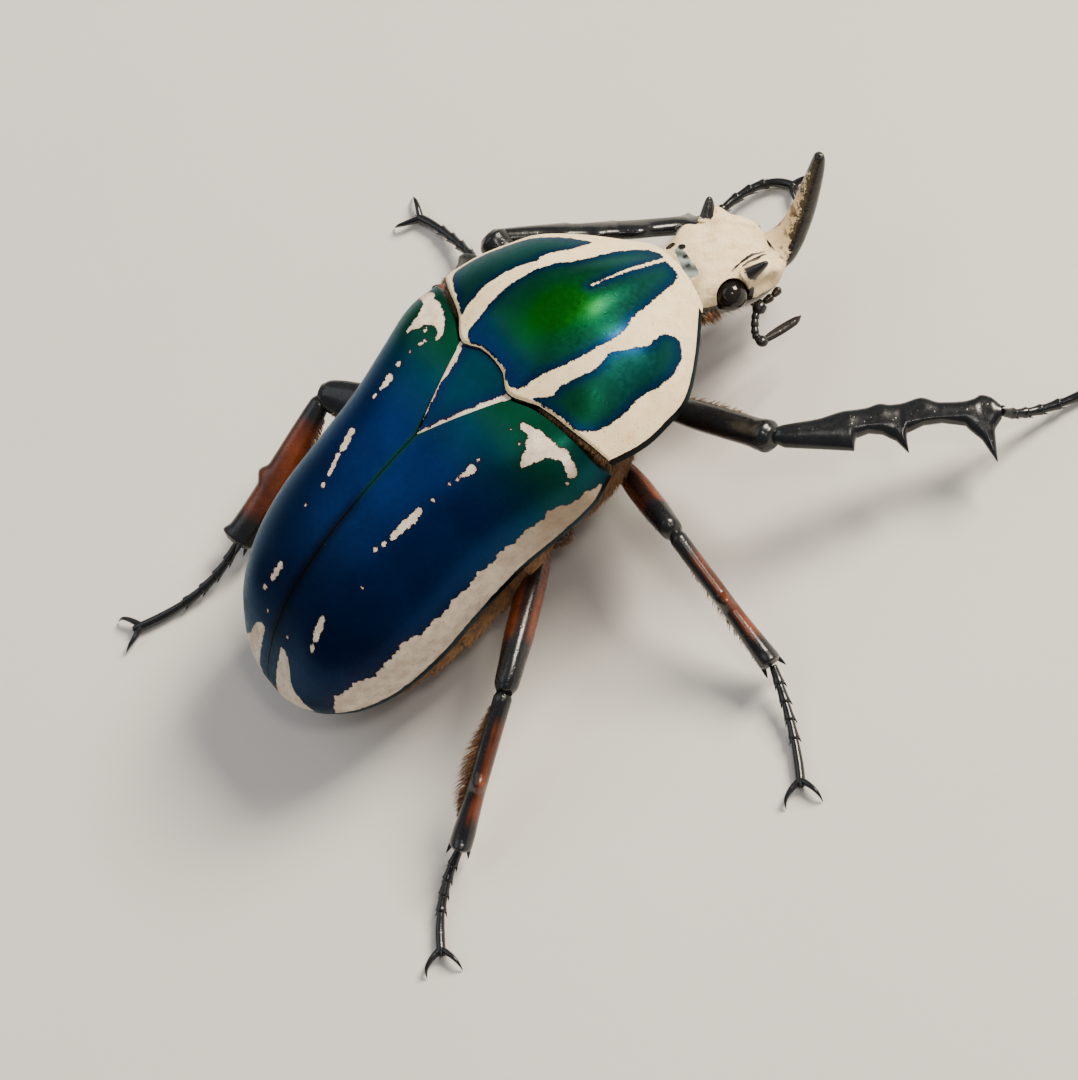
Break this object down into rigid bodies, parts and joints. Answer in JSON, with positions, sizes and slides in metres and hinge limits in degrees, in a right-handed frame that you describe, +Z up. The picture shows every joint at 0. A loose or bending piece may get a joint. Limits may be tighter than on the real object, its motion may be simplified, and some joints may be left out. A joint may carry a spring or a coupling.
{
  "type": "giant flower beetle",
  "caption": "Horned giant flower beetle standing on its legs, with a green pronotum and dark blue elytra marked in cream.",
  "frame": {"origin": "centre of the bounding box's bottom face, on the floor that the feet stand on", "axes": "+X towards the head and the horn, +Y towards the beetle's left, +Z up"},
  "size_m": [0.086, 0.077, 0.023],
  "materials": {
    "pronotum": "glossy green cuticle with matte cream bands",
    "elytra": "glossy blue to violet-black cuticle with matte cream spots",
    "cream": "matte cream scale coating with dark specks",
    "black_cuticle": "glossy black cuticle",
    "red_cuticle": "glossy red-brown cuticle with black ends",
    "underside": "dark cuticle with golden-brown short hair",
    "eye": "glossy black"
  },
  "bodies": {
    "root": {"pronotum": "pronotum", "prothorax_underside": "underside", "scutellum": "pronotum", "elytron_left": "elytra", "elytron_right": "elytra", "thorax_underside": "underside", "abdomen": "underside", "pygidium": "underside", "head": "cream", "horn": "black_cuticle", "eye_left": "eye", "antenna_left": "black_cuticle", "palp_left": "black_cuticle", "eye_right": "eye", "antenna_right": "black_cuticle", "palp_right": "black_cuticle", "coxa_fore_right": "black_cuticle", "femur_fore_right": "black_cuticle", "tibia_fore_right": "black_cuticle", "tarsus_fore_right": "black_cuticle", "coxa_mid_right": "black_cuticle", "femur_mid_right": "red_cuticle", "tibia_mid_right": "red_cuticle", "tarsus_mid_right": "black_cuticle", "coxa_hind_right": "black_cuticle", "femur_hind_right": "red_cuticle", "tibia_hind_right": "red_cuticle", "tarsus_hind_right": "black_cuticle", "coxa_fore_left": "black_cuticle", "femur_fore_left": "black_cuticle", "tibia_fore_left": "black_cuticle", "tarsus_fore_left": "black_cuticle", "coxa_mid_left": "black_cuticle", "femur_mid_left": "red_cuticle", "tibia_mid_left": "red_cuticle", "tarsus_mid_left": "black_cuticle", "coxa_hind_left": "black_cuticle", "femur_hind_left": "red_cuticle", "tibia_hind_left": "red_cuticle", "tarsus_hind_left": "black_cuticle"}
  },
  "joints": []
}
